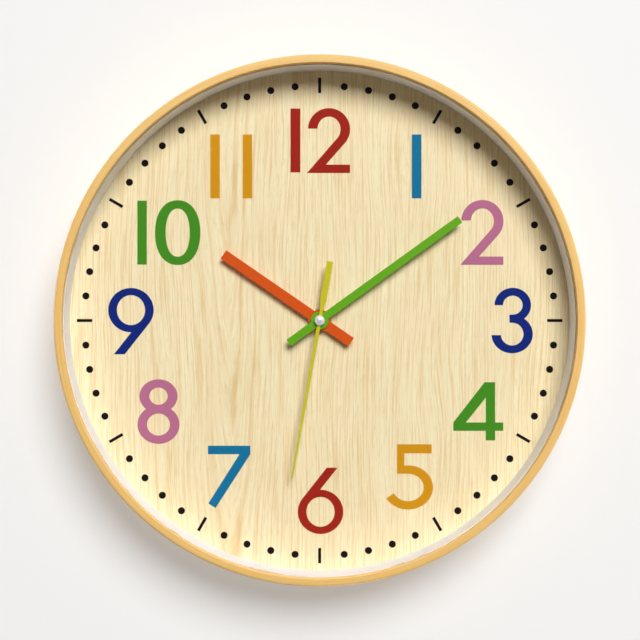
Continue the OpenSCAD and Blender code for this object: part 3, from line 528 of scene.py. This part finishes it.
def at_height(oval, y):
    """Angle on the left of the ellipse at height y."""
    return 180 - math.degrees(math.asin((y - oval["cy"]) / oval["ry"]))


def first_inside(oval, path, low, high):
    """Where a path from outside enters the ellipse, found by halving."""
    for _ in range(40):
        middle = (low + high) / 2
        if math.hypot(*place_in(oval, path(middle))) < 1:
            high = middle
        else:
            low = middle
    return path(low)


def bar(width, height, x=0.0):
    """An upright bar about y = 0."""
    w, h = width / 2, height / 2
    return [(x - w, -h), (x + w, -h), (x + w, h), (x - w, h)]


def squared_oval(rx, ry):
    """A closed loop a little squarer than an ellipse, whose squareness would be 2."""
    squareness, steps = 2.2, 96
    power = 2 / squareness
    points = []
    for i in range(steps):
        a = 2 * math.pi * i / steps
        x = rx * math.copysign(abs(math.cos(a)) ** power, math.cos(a))
        y = ry * math.copysign(abs(math.sin(a)) ** power, math.sin(a))
        points.append((x, y))
    return points


def digit_0():
    return [squared_oval(13.15, 18.8), squared_oval(7.0, 14.0)]


def digit_1():
    return [bar(5.6, STEM_H)]


def digit_2():
    outer, inner = ellipse(0.3, 6.5, 12.25, 12.25), ellipse(0.3, 6.5, 6.7, 7.4)
    cut, side, foot_top, foot_bottom = 6.9, 12.5, -14.1, -18.9
    crook, toe = (-1.6, foot_top), (-side, foot_bottom)
    return [arc(outer, at_height(outer, cut), tangent(outer, crook))
            + [crook, (side, foot_top), (side, foot_bottom), toe]
            + arc(inner, tangent(inner, toe), at_height(inner, cut))]


def digit_3():
    upper, upper_in = ellipse(0.4, 8.95, 10.6, 10.05), ellipse(0.4, 8.95, 5.7, 5.5)
    lower, lower_in = ellipse(0, -7.9, 12.0, 11.1), ellipse(0, -7.9, 6.6, 6.6)
    waist = first_inside(lower, lambda angle: point_on(upper, -angle), 0, 90)
    cut, stub_x, stub_bottom, stub_top = -8.5, -1.5, -1.2, 3.4
    return [arc(upper, 180, angle_of(upper, waist))
            + arc(lower, angle_of(lower, waist), at_height(lower, cut) - 360)
            + arc(lower_in, at_height(lower_in, cut) - 360, 90)
            + [(stub_x, stub_bottom), (stub_x, stub_top)]
            + arc(upper_in, -90, 180)]


def digit_4():
    side, stem_l, stem_r, slope_x, hole_l = 14.5, 4.4, 9.8, 3.7, -7.2
    top, hole_top, cross_top, cross_bottom = 16.9, 8.0, -6.5, -11.3
    outline = [
        (stem_r, top), (slope_x, top), (-side, cross_top), (-side, cross_bottom),
        (stem_l, cross_bottom), (stem_l, -top), (stem_r, -top), (stem_r, cross_bottom),
        (side, cross_bottom), (side, cross_top), (stem_r, cross_top)]
    return [outline, [(hole_l, cross_top), (stem_l, cross_top), (stem_l, hole_top)]]


def digit_5():
    outer, inner = ellipse(-1.1, -6.25, 14.5, 12.8), ellipse(-1.1, -6.25, 9.1, 8.0)
    stem_l, stem_r, side = -7.5, -3.3, 12.6
    top, under, stem_bottom = 18.8, 13.6, 1.75
    tail_outside, tail_inside = -150, -156
    meet = first_inside(outer, lambda drop: (stem_r, under - drop), 0, 12)
    return [[(stem_l, top), (side, top), (side, under), (stem_r, under)]
            + arc(outer, angle_of(outer, meet), tail_outside)
            + arc(inner, tail_inside, 90) + [(stem_l, stem_bottom)]]


def digit_6():
    outer, inner = ellipse(0, -6.35, 13.2, 12.85), ellipse(0, -6.35, 8.2, 8.7)
    left, right = (3.6, 19.3), (9.9, 19.3)
    start = tangent(outer, left)
    touch = point_on(outer, start)
    slope = math.atan2(left[1] - touch[1], left[0] - touch[0])
    step_x, step_y = math.cos(slope), math.sin(slope)
    meet = first_inside(outer, lambda t: (right[0] - t * step_x, right[1] - t * step_y), 0, 22)
    return [[left] + arc(outer, start, angle_of(outer, meet) + 360) + [right], whole(inner)]


def digit_7():
    side, top, under, crook_x = 12.3, 18.1, 13.2, 6.0
    foot_right, foot_left = (-7.9, -top), (-12.1, -15.4)
    return [[(-side, top), (side, top), (side, under), foot_right, foot_left,
             (crook_x, under), (-side, under)]]


def digit_8():
    upper, upper_in = ellipse(0, 8.9, 11.05, 9.8), ellipse(0, 8.9, 5.3, 5.0)
    lower, lower_in = ellipse(0, -7.6, 12.2, 11.2), ellipse(0, -7.6, 6.7, 6.4)
    waist = first_inside(lower, lambda angle: point_on(upper, -angle), 0, 90)
    high, low = angle_of(upper, waist), angle_of(lower, waist)
    return [arc(upper, high, 180 - high) + arc(lower, 180 - low, 360 + low),
            whole(upper_in), whole(lower_in)]


def digit_9():
    return [[(-x, -y) for x, y in loop] for loop in digit_6()]


def moved(loops, x):
    """The loops, moved to the right."""
    return [[(px + x, py) for px, py in loop] for loop in loops]


def printed(name, loops, thickness, material, x, z, back=DIAL_Y):
    """A flat printed or raised form facing the viewer, from loops whose inner ones are holes."""
    curve = bpy.data.curves.new(name, "CURVE")
    curve.dimensions = "2D"
    curve.fill_mode = "BOTH"
    curve.extrude = thickness * MM / 2
    for loop in loops:
        spline = curve.splines.new("POLY")
        spline.points.add(len(loop) - 1)
        for point, (px, py) in zip(spline.points, loop):
            point.co = (px * MM, py * MM, 0, 1)
        spline.use_cyclic_u = True
    drawn = bpy.data.objects.new(name + "_outline", curve)
    mesh = bpy.data.meshes.new_from_object(drawn)
    bpy.data.objects.remove(drawn)
    bpy.data.curves.remove(curve)
    mesh.name = name
    for vertex in mesh.vertices:
        px, py, pz = vertex.co
        vertex.co = (x * MM + px, back - thickness * MM / 2 - pz, z * MM + py)
    mesh.materials.clear()
    mesh.materials.append(material)
    piece = add_object(name, mesh)
    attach(piece, "clock_body")
    return piece


def numerals():
    """Twelve coloured numerals, each colour used for a numeral and for the one across the dial."""
    red = ink("red_ink", srgb(160, 34, 20))
    teal = ink("teal_ink", srgb(16, 114, 158))
    pink = ink("pink_ink", srgb(184, 110, 144))
    navy = ink("navy_ink", srgb(8, 36, 122))
    green = ink("green_ink", srgb(66, 140, 30))
    amber = ink("amber_ink", srgb(211, 148, 18))
    # The hour, its loops, its ink, and x and z of its centre in millimetres
    placed = [
        (1, digit_1(), teal, 56.4, 89.6),
        (2, digit_2(), pink, 94.3, 51.3),
        (3, digit_3(), navy, 111.9, 0.0),
        (4, digit_4(), green, 92.2, -52.8),
        (5, digit_5(), amber, 52.5, -90.8),
        (6, digit_6(), red, 0.5, -104.9),
        (7, digit_7(), teal, -52.6, -90.9),
        (8, digit_8(), pink, -93.7, -52.9),
        (9, digit_9(), navy, -109.7, -0.3),
        (10, [bar(STEM_W, STEM_H, -15.55)] + moved(digit_0(), 5.15), green, -87.7, 51.1),
        (11, [bar(STEM_W, STEM_H, -9.4), bar(STEM_W, STEM_H, 9.4)], amber, -51.4, 89.6),
        (12, [bar(5.7, STEM_H, -14.45)] + moved(digit_2(), 4.8), red, 0.35, 104.7),
    ]
    for hour, loops, material, x, z in placed:
        printed("numeral_%d" % hour, loops, INK_MM, material, x, z)


# Raised marks moulded on the back of the movement, in millimetres

MARK_H = 0.15


def raised(name, loops, material, x, z):
    """A form that stands proud of the case cover."""
    piece = printed(name, loops, MARK_H, material, x, z, back=COVER_Y + MARK_H * MM)


def circle(radius):
    return ellipse(0, 0, radius, radius)


def setting_arrow(material):
    """Curved arrow round the knob: the way that turns the hands forward, seen from the back."""
    mid_r, half_w, barb = 8.6, 0.35, 1.2
    start, neck, tip = 20, 126, 150
    loop = arc(circle(mid_r + half_w), start, neck)
    loop += [point_on(circle(mid_r + barb), neck), point_on(circle(mid_r), tip)]
    loop += [point_on(circle(mid_r - barb), neck)]
    loop += arc(circle(mid_r - half_w), neck, start)
    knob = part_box("setting_knob")
    x, z = (knob[0].x + knob[1].x) / 2, (knob[0].z + knob[1].z) / 2
    raised("setting_arrow", [loop], material, x / MM, z / MM)


def polarity_marks(material):
    """A plus over the cell's nub and a minus over its base."""
    long, thin, nub_x, mark_z = 1.8, 0.35, 22, -7
    plus = [(thin, thin), (thin, long), (-thin, long), (-thin, thin), (-long, thin), (-long, -thin),
            (-thin, -thin), (-thin, -long), (thin, -long), (thin, -thin), (long, -thin), (long, thin)]
    raised("plus_mark", [plus], material, nub_x, mark_z)
    raised("minus_mark", [bar(2 * long, 2 * thin)], material, -nub_x, mark_z)


# Stage, camera and light, in metres

def plane(name, corners, material):
    mesh = bpy.data.meshes.new(name)
    mesh.from_pydata(corners, [], [(0, 1, 2, 3)])
    mesh.materials.append(material)
    piece = add_object(name, mesh)
    return piece


def backdrop_paint(name, painted, own, own_share):
    """Matt paint that shows from the front only. Part of its white is its own, for the camera
    and for mirrors, and the rest takes the lamps' light and the clock's shadow."""
    s = new_shader(name)
    looked_at, mirrored = s.rays()
    share = s.times(s.math("MAXIMUM", looked_at, mirrored), own_share)
    matt = s.add("ShaderNodeBsdfDiffuse", {"Color": painted})
    white = s.add("ShaderNodeEmission", {"Color": own, "Strength": 1.0})
    face = s.blend(share, matt, white)
    clear = s.add("ShaderNodeBsdfTransparent")
    behind = s.add("ShaderNodeNewGeometry").outputs["Backfacing"]
    return s.output(s.blend(behind, face, clear))


def stage():
    """A wall just behind the clock and a floor below it. The lamps behind the wall shine through."""
    reach, floor_z, wall_y = 3.0, -0.36, 0.0002
    wall_white = backdrop_paint(
        "wall_paint", painted=srgb(247, 248, 249), own=srgb(247, 244, 241), own_share=0.38)
    wall = plane("wall", [
        (-reach, wall_y, floor_z), (reach, wall_y, floor_z),
        (reach, wall_y, reach), (-reach, wall_y, reach)], wall_white)
    floor_white = backdrop_paint(
        "floor_paint", painted=srgb(198, 196, 193), own=srgb(240, 239, 236), own_share=0.75)
    floor = plane("floor", [
        (-reach, -reach, floor_z), (reach, -reach, floor_z),
        (reach, reach, floor_z), (-reach, reach, floor_z)], floor_white)
    wall.visible_shadow = floor.visible_shadow = False
    wall.visible_diffuse = floor.visible_diffuse = False
    floor.visible_glossy = False


def area_lamp(name, place, size, level, aim=(0, 0, 0)):
    """A soft round lamp. At level 1 a white surface at the middle of the dial that faces it
    renders as 1."""
    light = bpy.data.lights.new(name, "AREA")
    light.shape = "DISK"
    light.size = size
    beam = Vector(aim) - Vector(place)
    off_axis = beam.angle(-Vector(place))
    light.energy = level * (math.pi * Vector(place).length) ** 2 / math.cos(off_axis)
    lamp = add_object(name, light)
    lamp.location = place
    lamp.rotation_euler = beam.to_track_quat("-Z", "Y").to_euler()


def lamps():
    """The key lamp makes the photographed shadows. The others stand behind the wall and light
    the hoop's sides and the clock's back."""
    area_lamp("key", (0.87, -3.48, 1.95), size=2.35, level=1.105, aim=(-0.5, 0, -3.2))
    small_fills = {
        "left_fill": (-1.9, 0.4, 0.2),
        "right_fill": (1.9, 0.4, -0.3),
        "low_fill": (0.2, 0.4, -1.9)}
    for name, place in small_fills.items():
        area_lamp(name, place, size=0.6, level=0.4)
    area_lamp("back_fill", (-0.9, 1.6, 1.2), size=1.2, level=0.95)


def world_light(level, seen_level):
    """Even room light. Rays from the camera see a pale room, and so do mirrors, except straight
    in front of the dial, where the room is almost dark."""
    world = bpy.data.worlds.new("room")
    bpy.context.scene.world = world
    s = Shader(world)
    looked_at, mirrored = s.rays()
    direction = s.add("ShaderNodeTexCoord").outputs["Generated"]
    along_y = s.add("ShaderNodeSeparateXYZ", {0: direction}).outputs["Y"]
    dark_level, straight_on, aside = 0.06, -0.92, -0.35
    mirror_level = s.span(along_y, straight_on, aside, dark_level, seen_level)
    lit = s.add("ShaderNodeBackground", {"Color": (1.0, 0.92, 0.80), "Strength": level})
    shiny = s.add("ShaderNodeBackground", {"Color": (1.0, 0.99, 0.98), "Strength": mirror_level})
    seen = s.add("ShaderNodeBackground", {"Color": (1.0, 1.0, 0.99), "Strength": seen_level})
    s.output(s.blend(looked_at, s.blend(mirrored, lit, shiny), seen), "ShaderNodeOutputWorld")


def camera():
    """The photograph's view: level, and straight in front of the dial."""
    lens_mm, sensor_mm, nearest = 70.04, 36, 0.01
    place = (0.0002, -0.746, 0.0003)
    data = bpy.data.cameras.new("camera")
    data.lens = lens_mm
    data.sensor_width = sensor_mm
    data.clip_start = nearest
    eye = add_object("camera", data)
    eye.location = place
    eye.rotation_euler = (math.pi / 2, 0, 0)
    bpy.context.scene.camera = eye


camera()
bpy.context.scene.view_settings.view_transform = "Standard"
dress_nodes()
numerals()
setting_arrow(NODES["case_cover"].active_material)
polarity_marks(NODES["case_cover"].active_material)
stage()
world_light(level=0.075, seen_level=0.92)
lamps()
